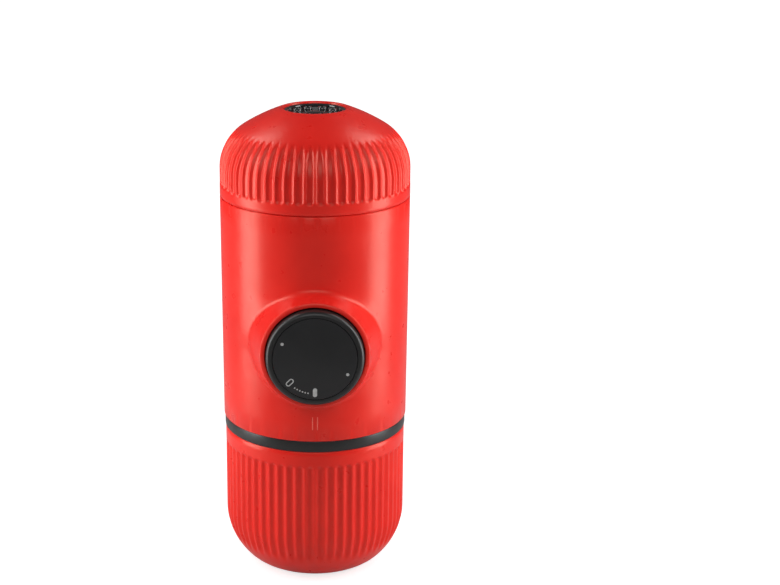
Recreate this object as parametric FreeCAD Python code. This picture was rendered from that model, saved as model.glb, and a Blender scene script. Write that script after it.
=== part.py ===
import FreeCAD, Part
import math
import os

from FreeCAD import Vector

# Handheld manual espresso maker, in millimetres.
# The origin is the centre of the cup's flat base, +Z is up and the knob faces -Y.
# The cup plugs onto the outlet head, the outlet head screws into the body from below,
# and the water tank screws into the body from above. The knob works a pump that lies
# front to back in the body.

# Heights of the four outer shells, from the base up
CUP_HEIGHT = 48.9
RIM_HEIGHT = 3.9
BODY_HEIGHT = 74.6
TANK_HEIGHT = 28.6

# Outer radii: the tank's, and how much each shell below it stands back
TANK_RADIUS = 31.0
BODY_DRAFT = 0.5
RIM_STEP = 0.3
CUP_STEP = 0.2

# Walls and clearances
SHELL_WALL = 2.0
BODY_WALL = 2.4
RUN_GAP = 0.05
LOOSE_GAP = 0.3
SLIDE_GAP = 0.25
EDGE_ROUND = 0.4

# Dome of the tank
TANK_WALL_HEIGHT = 9.0
SHOULDER_RADIUS = 16.07
SHOULDER_SWEEP = 58.0
RECESS_RADIUS = 10.2
RECESS_DEPTH = 2.8
RECESS_LIP = 1.0

# Dome of the cup
HEEL_HEIGHT = 19.6
HEEL_RADIUS = 22.1
HEEL_SWEEP = 45.4
BASE_RADIUS = 14.5

# Ribs on both domes: the valleys between them are cut, and narrow with the dome
RIB_COUNT = 60
TANK_RIB_WIDTH = 0.7
CUP_RIB_WIDTH = 1.2
VALLEY_DEPTH = 0.6
VALLEY_FLOOR_SHARE = 0.35
VALLEY_RUN_IN = 1.2
VALLEY_REACH = 0.25
VALLEY_RUN_OUT = 0.1
TANK_RIB_START = 3.7
TANK_RIB_SWEEP = 53.5
TANK_RIB_STEPS = 4
CUP_RIB_START = 4.7
CUP_RIB_SWEEP = 25.6
CUP_RIB_STEPS = 3

# Threaded neck of the tank and collar of the outlet head
NECK_LENGTH = 16.0
NECK_WALL = 1.8
SOCKET_WALL = 1.45
COLLAR_WALL = 3.8
GASKET_HEIGHT = 1.5
HEAD_GASKET_HEIGHT = 1.0
WELL_FLOOR = 2.7
COLLAR_LENGTH = 9.1
LEDGE_WIDTH = 1.0

# Filter basket, scoop and brew chamber
BASKET_GAP = 0.2
BASKET_WALL = 0.8
BASKET_FLANGE = 1.5
BASKET_HEIGHT = 19.3
BREW_GASKET_HEIGHT = 1.7
CHAMBER_PLATE = 2.5
SCREEN_THICKNESS = 0.8
SCREEN_RIM = 1.2
SCREEN_HOLE_RADIUS = 0.9
SCREEN_RING_HOLES = 6
SCREEN_RING_RADII = (7.5, 14.5)
STRAINER_RING_RADIUS = 3.8
SCOOP_HEIGHT = 16.0
SCOOP_WALL = 1.2

# Outlet head and nozzle
HEAD_FLOOR = 1.5
OUTLET_RADIUS = 3.0
NOZZLE_FLANGE_RADIUS = 9.0
NOZZLE_FLANGE = 1.2
NOZZLE_WALL = 1.5
NOZZLE_TIP_RADIUS = 3.6
NOZZLE_CONE_HEIGHT = 11.0
NOZZLE_TIP_LENGTH = 4.0
NOZZLE_BORE_RADIUS = 1.8

# Pump, along Y
PUMP_ABOVE_RIM = 31.2
PUMP_BORE_RADIUS = 9.0
PUMP_WALL = 2.5
PUMP_STOP_WIDTH = 1.5
PUMP_STOP_THICKNESS = 2.0
PISTON_LENGTH = 8.0
SEAL_WIDTH = 3.0
SEAL_DEPTH = 1.75
ROD_RADIUS = 5.0
SPIGOT_RADIUS = 3.0
SPIGOT_END = 2.0
PORT_Y = 15.0
PORT_SIDE = 3.0
PORT_RADIUS = 1.5
VALVE_BOSS_RADIUS = 6.5
VALVE_BOSS_HEIGHT = 16.0
VALVE_RADIUS = 4.0
VALVE_THICKNESS = 1.0
VALVE_STEM_RADIUS = 1.1
INLET_STEM = 3.0
OUTLET_STEM = 5.0
VALVE_POCKET_DEPTH = 3.0
CAP_FLANGE = 2.5
CAP_WALL = 4.0

# Knob and its boss
KNOB_RADIUS = 15.5
KNOB_REACH = 9.0
KNOB_LENGTH = 22.0
KNOB_HEAD = 6.0
KNOB_SKIRT_WALL = 1.8
KNOB_BEVEL = 1.6
KNOB_HUB_RADIUS = 6.2
KNOB_HUB_LENGTH = 6.0
FACE_RADIUS = 13.4
FACE_THICKNESS = 1.8
SCREW_HEAD_RADIUS = 5.0
SCREW_HEAD = 1.5
SCREW_SHANK_RADIUS = 1.25
SCREW_LENGTH = 9.0
SCREW_SLOT_WIDTH = 1.0
SCREW_SLOT_LENGTH = 6.0
SCREW_SLOT_DEPTH = 0.8
KNOB_PROUD = 3.2
BOSS_WIDTH = 1.8
BOSS_FLARE = 0.27
BOSS_FILLET = 2.5
SLEEVE_WALL = 1.45
SLEEVE_OVERLAP = 4.0
LUG_COUNT = 3
LUG_HEIGHT = 0.9
LUG_LENGTH = 2.4
LUG_WIDTH_DEG = 20.0
LOCK_TURN_DEG = 45.0
LUG_SIDE_GAP_DEG = 2.0
STROKE = 14.0
GUIDE_DEPTH = 2.5
GUIDE_FLANGE = 2.0
GUIDE_SEAT = 0.5
GUIDE_STEP = 0.2

# Return spring, round the cylinder inside the knob
SPRING_WIRE_RADIUS = 0.55
SPRING_TURNS = 5

# Posts of the upper chassis and their screws
POST_RADIUS = 3.0
POST_ANGLES = (-15, 30, 150, 195)
CHASSIS_SCREW_HEAD_RADIUS = 2.5
CHASSIS_SCREW_HEAD = 1.6
CHASSIS_SCREW_LENGTH = 10.0
LEDGE_HEIGHT = 2.0
LEDGE_ROOT = 0.5

# Support foot in the top recess
FOOT_HEIGHT = 2.2
FOOT_RIM = 1.6
FOOT_DISH_DEPTH = 1.0
FOOT_POCKETS = 8
FOOT_POCKET_RADIUS = 1.5
FOOT_POCKET_DEPTH = 0.6
FOOT_POCKET_EDGE = 0.9

# Heights that follow from the stack
RIM_BOTTOM = CUP_HEIGHT
RIM_TOP = RIM_BOTTOM + RIM_HEIGHT
SEAM = RIM_TOP + BODY_HEIGHT
TANK_TOP = SEAM + TANK_HEIGHT

# Radii that follow from the tank's, from the outside in
BODY_BOTTOM_RADIUS = TANK_RADIUS - BODY_DRAFT
RIM_RADIUS = BODY_BOTTOM_RADIUS - RIM_STEP
CUP_RADIUS = RIM_RADIUS - CUP_STEP
CUP_BORE = CUP_RADIUS - SHELL_WALL
SPIGOT_OUTER = CUP_BORE - RUN_GAP
BODY_BORE = TANK_RADIUS - BODY_WALL
CHASSIS_RADIUS = BODY_BORE - 2 * RUN_GAP
SOCKET_BORE = CHASSIS_RADIUS - SOCKET_WALL
NECK_RADIUS = SOCKET_BORE - RUN_GAP
HEAD_CAVITY = NECK_RADIUS - COLLAR_WALL
BASKET_RADIUS = HEAD_CAVITY - BASKET_GAP
FLANGE_RADIUS = BASKET_RADIUS + LEDGE_WIDTH
SCREEN_RADIUS = BASKET_RADIUS - BASKET_WALL - SCREEN_RIM
FOOT_DISH_RADIUS = RECESS_RADIUS - FOOT_RIM
FOOT_POCKET_CIRCLE = FOOT_DISH_RADIUS - FOOT_POCKET_EDGE - FOOT_POCKET_RADIUS
POST_CIRCLE = SOCKET_BORE - POST_RADIUS - LOOSE_GAP

# Upper chassis
NECK_BOTTOM = SEAM - NECK_LENGTH
WELL_FLOOR_TOP = NECK_BOTTOM - LOOSE_GAP
WELL_FLOOR_BOTTOM = WELL_FLOOR_TOP - WELL_FLOOR
WELL_TOP = SEAM - GASKET_HEIGHT

# Lower chassis and what hangs under it
COLLAR_TOP = RIM_TOP + COLLAR_LENGTH
FLANGE_TOP = COLLAR_TOP + LOOSE_GAP
BASKET_BOTTOM = FLANGE_TOP - BASKET_HEIGHT
PLATE_BOTTOM = FLANGE_TOP + BREW_GASKET_HEIGHT
PLATE_TOP = PLATE_BOTTOM + CHAMBER_PLATE
SKIRT_BOTTOM = RIM_TOP + HEAD_GASKET_HEIGHT
BASKET_LEDGE = FLANGE_TOP - BASKET_FLANGE
HEAD_CAVITY_FLOOR = BASKET_BOTTOM - LOOSE_GAP
HEAD_BOTTOM = HEAD_CAVITY_FLOOR - HEAD_FLOOR

# Knob, boss and guide, from the front inwards
KNOB_FRONT = -TANK_RADIUS - KNOB_REACH
KNOB_HEAD_REAR = KNOB_FRONT + KNOB_HEAD
KNOB_SKIRT_REAR = KNOB_FRONT + KNOB_LENGTH
SCREW_FRONT = KNOB_FRONT + FACE_THICKNESS + RUN_GAP
ROD_FRONT = SCREW_FRONT + SCREW_HEAD
KNOB_FLOOR_FRONT = ROD_FRONT + 2 * RUN_GAP
HUB_REAR = KNOB_HEAD_REAR + KNOB_HUB_LENGTH
BOSS_FRONT = KNOB_FRONT + KNOB_PROUD
BOSS_ROOT = -BODY_BORE / 2
BOSS_BORE = KNOB_RADIUS + SLIDE_GAP
BOSS_RADIUS = KNOB_RADIUS + BOSS_WIDTH
SLEEVE_OUTER = BOSS_BORE + SLEEVE_WALL
SLEEVE_REAR = KNOB_SKIRT_REAR - SLEEVE_OVERLAP
GUIDE_FLOOR = KNOB_SKIRT_REAR + GUIDE_DEPTH
GUIDE_REAR = GUIDE_FLOOR + GUIDE_FLANGE
TRACK_RADIUS = KNOB_RADIUS + LUG_HEIGHT + SLIDE_GAP
TRACK_REAR = KNOB_SKIRT_REAR + LOOSE_GAP
TRACK_FRONT = KNOB_SKIRT_REAR - LUG_LENGTH - STROKE - LOOSE_GAP

# Pump
PUMP_HEIGHT = RIM_TOP + PUMP_ABOVE_RIM
PUMP_OUTER = PUMP_BORE_RADIUS + PUMP_WALL
PUMP_FRONT = GUIDE_FLOOR - GUIDE_SEAT
PUMP_REAR = PORT_Y + CAP_WALL
PUMP_STOP_RADIUS = PUMP_OUTER + PUMP_STOP_WIDTH
PISTON_REAR = PORT_Y - PORT_SIDE
PISTON_FRONT = PISTON_REAR - PISTON_LENGTH
PISTON_RADIUS = PUMP_BORE_RADIUS - RUN_GAP
SPRING_RADIUS = (PUMP_OUTER + KNOB_RADIUS - KNOB_SKIRT_WALL) / 2
VALVE_BOSS_TOP = PUMP_HEIGHT + VALVE_BOSS_HEIGHT
VALVE_POCKET_RADIUS = VALVE_RADIUS + 2 * RUN_GAP

UP = Vector(0, 0, 1)
CENTRE = Vector(0, 0, 0)
PUMP_CENTRE = Vector(0, 0, PUMP_HEIGHT)
PUMP_AXIS = Vector(0, 1, 0)


def post(radius, bottom, top, x=0.0, y=0.0):
    """An upright cylinder."""
    return Part.makeCylinder(radius, top - bottom, Vector(x, y, bottom), UP)


def ring(outer, inner, bottom, top):
    """An upright ring on the main axis."""
    return post(outer, bottom, top).cut(post(inner, bottom - 1, top + 1))


def lying(radius, front, rear):
    """A cylinder on the pump's axis, from front to rear along Y."""
    return Part.makeCylinder(radius, rear - front, Vector(0, front, PUMP_HEIGHT), PUMP_AXIS)


def lying_ring(outer, inner, front, rear):
    """A ring on the pump's axis."""
    return lying(outer, front, rear).cut(lying(inner, front - 1, rear + 1))


def turned(edges):
    """The solid that a closed outline of (r, z) edges in the XZ plane sweeps about the main axis."""
    return Part.Face(Part.Wire(edges)).revolve(CENTRE, UP, 360)


def turned_points(points):
    """A turned solid from corner points (r, z)."""
    corners = [Vector(r, 0, z) for r, z in points]
    return turned(Part.makePolygon(corners + corners[:1]).Edges)


def turned_on_pump(points):
    """A solid turned about the pump's axis from corner points (r, y)."""
    corners = [Vector(r, y, PUMP_HEIGHT) for r, y in points]
    face = Part.Face(Part.makePolygon(corners + corners[:1]))
    return face.revolve(PUMP_CENTRE, PUMP_AXIS, 360)


def line(start, end):
    """A straight edge between two (r, z) points."""
    return Part.LineSegment(Vector(start[0], 0, start[1]), Vector(end[0], 0, end[1])).toShape()


def arc(centre, radius, from_deg, to_deg):
    """An arc edge in the XZ plane, with its angles measured from +r towards +z."""
    points = []
    for share in (0.0, 0.5, 1.0):
        angle = math.radians(from_deg + (to_deg - from_deg) * share)
        points.append(Vector(centre[0] + radius * math.cos(angle), 0, centre[1] + radius * math.sin(angle)))
    return Part.Arc(*points).toShape()


def on_arc(centre, radius, degrees):
    """The (r, z) point of an arc at an angle."""
    angle = math.radians(degrees)
    return (centre[0] + radius * math.cos(angle), centre[1] + radius * math.sin(angle))


def tangent_arc(start, normal_deg, end):
    """The arc that leaves start square to the outward normal and ends at end."""
    normal = (math.cos(math.radians(normal_deg)), math.sin(math.radians(normal_deg)))
    chord = (end[0] - start[0], end[1] - start[1])
    inward = -(chord[0] * normal[0] + chord[1] * normal[1])
    radius = (chord[0] ** 2 + chord[1] ** 2) / (2 * inward)
    centre = (start[0] - radius * normal[0], start[1] - radius * normal[1])
    end_deg = math.degrees(math.atan2(end[1] - centre[1], end[0] - centre[0]))
    return arc(centre, radius, normal_deg, end_deg)


def around(solid, count, offset_deg=0.0, centre=CENTRE, axis=UP):
    """Copies of a solid, evenly spaced about an axis."""
    copies = []
    for index in range(count):
        copy = solid.copy()
        copy.rotate(centre, axis, offset_deg + index * 360.0 / count)
        copies.append(copy)
    return copies


def sector(outer, inner, front, rear, width_deg, centre_deg):
    """A piece of a ring on the pump's axis, centred on an angle measured from +X towards +Z."""
    corners = [
        Vector(inner, front, PUMP_HEIGHT),
        Vector(outer, front, PUMP_HEIGHT),
        Vector(outer, rear, PUMP_HEIGHT),
        Vector(inner, rear, PUMP_HEIGHT),
    ]
    face = Part.Face(Part.makePolygon(corners + corners[:1]))
    face.rotate(PUMP_CENTRE, PUMP_AXIS, -(centre_deg - width_deg / 2))
    return face.revolve(PUMP_CENTRE, PUMP_AXIS, -width_deg)


def valley(stations, rib_width):
    """The cutter of one valley, along stations of (r, z, normal in degrees, depth); at depth 0 it is clear."""
    reach = VALLEY_REACH
    sections = []
    for r, z, normal_deg, depth in stations:
        pitch = 2 * math.pi * r / RIB_COUNT
        width = pitch * (1 - rib_width / (2 * math.pi * TANK_RADIUS / RIB_COUNT))
        floor = width * VALLEY_FLOOR_SHARE
        slope = (width - floor) / 2 / VALLEY_DEPTH
        normal = Vector(math.cos(math.radians(normal_deg)), 0, math.sin(math.radians(normal_deg)))
        base = Vector(r, 0, z)
        top = width / 2 + slope * reach
        side = Vector(0, 1, 0)
        outer = base + normal * reach
        if depth == 0:
            inner = base + normal * (reach - VALLEY_RUN_OUT)
            low = top - slope * VALLEY_RUN_OUT
        else:
            inner = base - normal * depth
            low = floor / 2
        corners = [outer - side * top, outer + side * top, inner + side * low, inner - side * low]
        sections.append(Part.makePolygon(corners + corners[:1]))
    return Part.makeLoft(sections, True, True)


def cut_valleys(shell, stations, rib_width):
    """A shell with a valley between each two ribs; a rib stands at the front."""
    half_pitch = 180.0 / RIB_COUNT
    cutters = around(valley(stations, rib_width), RIB_COUNT, -90 + half_pitch)
    return shell.cut(Part.makeCompound(cutters))


def tank_outline():
    """Places on the tank's outline: shoulder centre, end of the shoulder and the rim."""
    centre = (TANK_RADIUS - SHOULDER_RADIUS, SEAM + TANK_WALL_HEIGHT)
    shoulder_end = on_arc(centre, SHOULDER_RADIUS, SHOULDER_SWEEP)
    rim = (RECESS_RADIUS + RECESS_LIP, TANK_TOP)
    return centre, shoulder_end, rim


def tank_shell():
    """The water tank: ribbed dome, neck and the recess in the top."""
    centre, shoulder_end, rim = tank_outline()
    neck_bore = NECK_RADIUS - NECK_WALL
    inner_radius = SHOULDER_RADIUS - SHELL_WALL
    inner_end = on_arc(centre, inner_radius, SHOULDER_SWEEP)
    recess_floor = TANK_TOP - RECESS_DEPTH
    ceiling = recess_floor - SHELL_WALL
    inner_wall = TANK_RADIUS - SHELL_WALL
    ceiling_edge = RECESS_RADIUS + SHELL_WALL
    edges = [
        line((NECK_RADIUS, NECK_BOTTOM), (NECK_RADIUS, SEAM)),
        line((NECK_RADIUS, SEAM), (TANK_RADIUS, SEAM)),
        line((TANK_RADIUS, SEAM), (TANK_RADIUS, centre[1])),
        arc(centre, SHOULDER_RADIUS, 0, SHOULDER_SWEEP),
        tangent_arc(shoulder_end, SHOULDER_SWEEP, rim),
        line(rim, (RECESS_RADIUS, TANK_TOP)),
        line((RECESS_RADIUS, TANK_TOP), (RECESS_RADIUS, recess_floor)),
        line((RECESS_RADIUS, recess_floor), (0, recess_floor)),
        line((0, recess_floor), (0, ceiling)),
        line((0, ceiling), (ceiling_edge, ceiling)),
        line((ceiling_edge, ceiling), inner_end),
        arc(centre, inner_radius, SHOULDER_SWEEP, 0),
        line((inner_wall, centre[1]), (inner_wall, SEAM + SHELL_WALL)),
        line((inner_wall, SEAM + SHELL_WALL), (neck_bore, SEAM + SHELL_WALL)),
        line((neck_bore, SEAM + SHELL_WALL), (neck_bore, NECK_BOTTOM)),
        line((neck_bore, NECK_BOTTOM), (NECK_RADIUS, NECK_BOTTOM)),
    ]
    start = SEAM + TANK_RIB_START
    stations = [(TANK_RADIUS, start, 0, 0), (TANK_RADIUS, start + VALLEY_RUN_IN, 0, VALLEY_DEPTH)]
    stations.append((TANK_RADIUS, centre[1], 0, VALLEY_DEPTH))
    for step in range(1, TANK_RIB_STEPS + 1):
        degrees = TANK_RIB_SWEEP * step / TANK_RIB_STEPS
        r, z = on_arc(centre, SHOULDER_RADIUS, degrees)
        stations.append((r, z, degrees, VALLEY_DEPTH if step < TANK_RIB_STEPS else 0))
    return cut_valleys(turned(edges), stations, TANK_RIB_WIDTH)


def support_foot():
    """The black insert in the tank's top recess: a dish with a ring of round pockets."""
    floor = TANK_TOP - RECESS_DEPTH
    top = floor + FOOT_HEIGHT
    foot = post(RECESS_RADIUS - RUN_GAP, floor, top)
    foot = foot.cut(post(FOOT_DISH_RADIUS, top - FOOT_DISH_DEPTH, top + 1))
    pocket = post(FOOT_POCKET_RADIUS, top - FOOT_DISH_DEPTH - FOOT_POCKET_DEPTH, top, FOOT_POCKET_CIRCLE)
    return foot.cut(Part.makeCompound(around(pocket, FOOT_POCKETS)))


def tank_gasket():
    return ring(CHASSIS_RADIUS - RUN_GAP, SOCKET_BORE, WELL_TOP, SEAM)


def post_places():
    """Where the upper chassis's four posts stand, just inside the sockets' bore."""
    places = []
    for degrees in POST_ANGLES:
        angle = math.radians(degrees)
        places.append((POST_CIRCLE * math.cos(angle), POST_CIRCLE * math.sin(angle)))
    return places


def tank_well():
    """The upper chassis: the socket for the tank's neck, the water spout and four posts."""
    well = post(CHASSIS_RADIUS, WELL_FLOOR_BOTTOM, WELL_TOP)
    well = well.cut(post(SOCKET_BORE, WELL_FLOOR_TOP, WELL_TOP + 1))
    well = well.fuse(post(VALVE_BOSS_RADIUS, VALVE_BOSS_TOP, WELL_FLOOR_TOP, 0, PORT_Y))
    for x, y in post_places():
        well = well.fuse(post(POST_RADIUS, PLATE_TOP, WELL_FLOOR_TOP, x, y))
    well = well.cut(post(PORT_RADIUS, VALVE_BOSS_TOP - 1, WELL_FLOOR_TOP + 1, 0, PORT_Y))
    pilot_top = PLATE_BOTTOM + CHASSIS_SCREW_LENGTH + LOOSE_GAP
    for x, y in post_places():
        well = well.cut(post(SCREW_SHANK_RADIUS + RUN_GAP, PLATE_TOP - 1, pilot_top, x, y))
    return well


def perforated(disc, bottom, top, radii, x=0.0, y=0.0):
    """A disc with a centre hole and rings of holes."""
    holes = [post(SCREEN_HOLE_RADIUS, bottom - 1, top + 1, x, y)]
    for index, radius in enumerate(radii):
        hole = post(SCREEN_HOLE_RADIUS, bottom - 1, top + 1, radius)
        for copy in around(hole, SCREEN_RING_HOLES * (index + 1)):
            copy.translate(Vector(x, y, 0))
            holes.append(copy)
    return disc.cut(Part.makeCompound(holes))


def inlet_strainer():
    """The strainer disc on the well's floor, over the spout."""
    top = WELL_FLOOR_TOP + SCREEN_THICKNESS
    disc = post(VALVE_BOSS_RADIUS, WELL_FLOOR_TOP, top, 0, PORT_Y)
    return perforated(disc, WELL_FLOOR_TOP, top, (STRAINER_RING_RADIUS,), 0, PORT_Y)


def valve(bottom, top, stem_top):
    """A rubber umbrella valve: a disc on a short stem."""
    disc = post(VALVE_RADIUS, bottom, top, 0, PORT_Y)
    return disc.fuse(post(VALVE_STEM_RADIUS, bottom, stem_top, 0, PORT_Y))


def inlet_valve():
    """Check valve under the well's spout."""
    return valve(VALVE_BOSS_TOP - VALVE_THICKNESS, VALVE_BOSS_TOP, VALVE_BOSS_TOP + INLET_STEM)


def outlet_valve():
    """Check valve on top of the brew chamber's port."""
    return valve(PLATE_TOP, PLATE_TOP + VALVE_THICKNESS, PLATE_TOP + OUTLET_STEM)


def pump_cylinder():
    """The pump's cylinder, with the valve boss across its rear end and a stop flange for the knob guide."""
    body = lying(PUMP_OUTER, PUMP_FRONT, PUMP_REAR)
    body = body.fuse(lying(PUMP_STOP_RADIUS, GUIDE_REAR, GUIDE_REAR + PUMP_STOP_THICKNESS))
    body = body.fuse(post(VALVE_BOSS_RADIUS, PLATE_TOP, VALVE_BOSS_TOP, 0, PORT_Y))
    body = body.cut(lying(PUMP_OUTER + RUN_GAP, PUMP_REAR, PUMP_REAR + CAP_FLANGE + 1))
    body = body.cut(lying(PUMP_BORE_RADIUS, PUMP_FRONT - 1, PUMP_REAR + 1))
    body = body.cut(post(PORT_RADIUS, PLATE_TOP - 1, VALVE_BOSS_TOP + 1, 0, PORT_Y))
    upper = (VALVE_BOSS_TOP - VALVE_POCKET_DEPTH, VALVE_BOSS_TOP + 1)
    lower = (PLATE_TOP - 1, PLATE_TOP + VALVE_POCKET_DEPTH)
    for bottom, top in (upper, lower):
        body = body.cut(post(VALVE_POCKET_RADIUS, bottom, top, 0, PORT_Y))
    return body


def cylinder_cap():
    """The plug in the cylinder's rear end, with the cross port to both valves."""
    cap = lying(PISTON_RADIUS, PISTON_REAR + LOOSE_GAP, PUMP_REAR)
    cap = cap.fuse(lying(PUMP_OUTER, PUMP_REAR, PUMP_REAR + CAP_FLANGE))
    cap = cap.cut(post(PORT_RADIUS, PUMP_HEIGHT - PUMP_OUTER, PUMP_HEIGHT + PUMP_OUTER, 0, PORT_Y))
    return cap.cut(lying(PORT_RADIUS, PISTON_REAR, PORT_Y))


def lug_sector(outer, inner, front, rear, extra_deg):
    """The space of the knob's lugs over the lock's turn, widened by extra_deg, as separate sectors."""
    width = LUG_WIDTH_DEG + extra_deg
    centre = 90 + extra_deg / 2 - LUG_SIDE_GAP_DEG * (1 if extra_deg else 0)
    return [
        sector(outer, inner, front, rear, width, centre + index * 360.0 / LUG_COUNT)
        for index in range(LUG_COUNT)
    ]


def lug_tracks():
    """The tracks that the lugs turn and slide in."""
    swept = LOCK_TURN_DEG + 2 * LUG_SIDE_GAP_DEG
    return Part.makeCompound(lug_sector(TRACK_RADIUS, BOSS_BORE - 1, TRACK_FRONT, TRACK_REAR, swept))


def knob_guide():
    """The collar behind the boss, which guides the knob and carries the spring."""
    guide = lying_ring(SLEEVE_OUTER, BOSS_BORE, SLEEVE_REAR, GUIDE_REAR)
    guide = guide.fuse(lying_ring(SLEEVE_OUTER - GUIDE_STEP, PUMP_OUTER + RUN_GAP, GUIDE_FLOOR, GUIDE_REAR))
    return guide.cut(lug_tracks())


def knob_boss():
    """The flared boss on the front of the housing."""
    root_radius = BOSS_RADIUS + BOSS_FLARE * (BOSS_ROOT - BOSS_FRONT)
    profile = [
        (0, BOSS_FRONT),
        (BOSS_RADIUS - EDGE_ROUND, BOSS_FRONT),
        (BOSS_RADIUS, BOSS_FRONT + EDGE_ROUND),
        (root_radius, BOSS_ROOT),
        (0, BOSS_ROOT),
    ]
    return turned_on_pump(profile)


def body_housing():
    """The red middle shell with the knob's boss, its sleeve and the two inner ledges."""
    outer = turned_points([(0, RIM_TOP), (BODY_BOTTOM_RADIUS, RIM_TOP), (TANK_RADIUS, SEAM), (0, SEAM)])
    outer = outer.fuse(knob_boss())
    corner = [e for e in outer.Edges if is_boss_root(e)]
    outer = outer.makeFillet(BOSS_FILLET, corner)
    shell = outer.cut(post(BODY_BORE, RIM_TOP - 1, SEAM + 1))
    sleeve = lying(SLEEVE_OUTER, BOSS_FRONT + 2, SLEEVE_REAR)
    for bottom in (PLATE_TOP, WELL_FLOOR_BOTTOM - LEDGE_HEIGHT):
        shell = shell.fuse(ring(BODY_BORE + LEDGE_ROOT, SOCKET_BORE, bottom, bottom + LEDGE_HEIGHT))
    shell = shell.fuse(sleeve)
    shell = shell.cut(lying(BOSS_BORE, BOSS_FRONT - 1, 0))
    return shell.cut(lug_tracks()).removeSplitter()


def is_boss_root(edge):
    """True for the edges where the boss meets the housing's round wall."""
    box = edge.BoundBox
    middle_y = (box.YMin + box.YMax) / 2
    reach = BOSS_RADIUS * 0.5
    near_pump = abs(box.ZMin - PUMP_HEIGHT) < BOSS_RADIUS * 2 and abs(box.ZMax - PUMP_HEIGHT) < BOSS_RADIUS * 2
    on_wall = -TANK_RADIUS - 1 < middle_y < -reach and box.YMin > -TANK_RADIUS - 1
    return near_pump and on_wall and box.ZLength > 1


def knob():
    """The black knob: round head, bevelled border, skirt, hub and bayonet lugs."""
    profile = [
        (KNOB_HUB_RADIUS, HUB_REAR),
        (KNOB_HUB_RADIUS, KNOB_HEAD_REAR),
        (KNOB_RADIUS - KNOB_SKIRT_WALL, KNOB_HEAD_REAR),
        (KNOB_RADIUS - KNOB_SKIRT_WALL, KNOB_SKIRT_REAR),
        (KNOB_RADIUS, KNOB_SKIRT_REAR),
        (KNOB_RADIUS, KNOB_FRONT + KNOB_BEVEL * 0.7),
        (KNOB_RADIUS - KNOB_BEVEL * 0.35, KNOB_FRONT + KNOB_BEVEL * 0.2),
        (KNOB_RADIUS - KNOB_BEVEL, KNOB_FRONT),
        (FACE_RADIUS + RUN_GAP, KNOB_FRONT),
        (FACE_RADIUS + RUN_GAP, KNOB_FRONT + FACE_THICKNESS),
        (SCREW_HEAD_RADIUS + LOOSE_GAP, KNOB_FRONT + FACE_THICKNESS),
        (SCREW_HEAD_RADIUS + LOOSE_GAP, KNOB_FLOOR_FRONT),
        (SPIGOT_RADIUS + RUN_GAP, KNOB_FLOOR_FRONT),
        (SPIGOT_RADIUS + RUN_GAP, HUB_REAR),
    ]
    body = turned_on_pump(profile)
    lug_front = KNOB_SKIRT_REAR - LUG_LENGTH
    inner = KNOB_RADIUS - KNOB_SKIRT_WALL / 2
    lugs = lug_sector(KNOB_RADIUS + LUG_HEIGHT, inner, lug_front, KNOB_SKIRT_REAR, 0)
    return body.fuse(lugs)


def knob_face():
    """The flat plate on the knob's front."""
    return lying(FACE_RADIUS, KNOB_FRONT, KNOB_FRONT + FACE_THICKNESS)


def knob_screw():
    """The screw that holds the knob on the rod, with a cross slot."""
    screw = lying(SCREW_HEAD_RADIUS, SCREW_FRONT, ROD_FRONT)
    screw = screw.fuse(lying(SCREW_SHANK_RADIUS, SCREW_FRONT, ROD_FRONT + SCREW_LENGTH))
    for size_x, size_z in ((SCREW_SLOT_WIDTH, SCREW_SLOT_LENGTH), (SCREW_SLOT_LENGTH, SCREW_SLOT_WIDTH)):
        corner = Vector(-size_x / 2, SCREW_FRONT - 1, PUMP_HEIGHT - size_z / 2)
        screw = screw.cut(Part.makeBox(size_x, 1 + SCREW_SLOT_DEPTH, size_z, corner))
    return screw


def plunger_rod():
    """The rod from the knob to the piston, stepped at both ends."""
    profile = [
        (0, ROD_FRONT),
        (SPIGOT_RADIUS, ROD_FRONT),
        (SPIGOT_RADIUS, HUB_REAR),
        (ROD_RADIUS, HUB_REAR),
        (ROD_RADIUS, PISTON_FRONT),
        (SPIGOT_RADIUS, PISTON_FRONT),
        (SPIGOT_RADIUS, PISTON_REAR - SPIGOT_END),
        (0, PISTON_REAR - SPIGOT_END),
    ]
    rod = turned_on_pump(profile)
    return rod.cut(lying(SCREW_SHANK_RADIUS + RUN_GAP, ROD_FRONT - 1, ROD_FRONT + SCREW_LENGTH + LOOSE_GAP))


def seal_front():
    return PISTON_FRONT + (PISTON_LENGTH - SEAL_WIDTH) / 2


def piston():
    """The piston, with a groove for its seal and a blind socket for the rod."""
    body = lying(PISTON_RADIUS, PISTON_FRONT, PISTON_REAR)
    groove = PISTON_RADIUS - SEAL_DEPTH
    body = body.cut(lying_ring(PISTON_RADIUS + 1, groove, seal_front(), seal_front() + SEAL_WIDTH))
    return body.cut(lying(SPIGOT_RADIUS + RUN_GAP / 2, PISTON_FRONT - 1, PISTON_REAR - SPIGOT_END))


def piston_seal():
    inner = PISTON_RADIUS - SEAL_DEPTH + RUN_GAP / 2
    return lying_ring(PISTON_RADIUS + RUN_GAP / 2, inner, seal_front(), seal_front() + SEAL_WIDTH)


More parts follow.
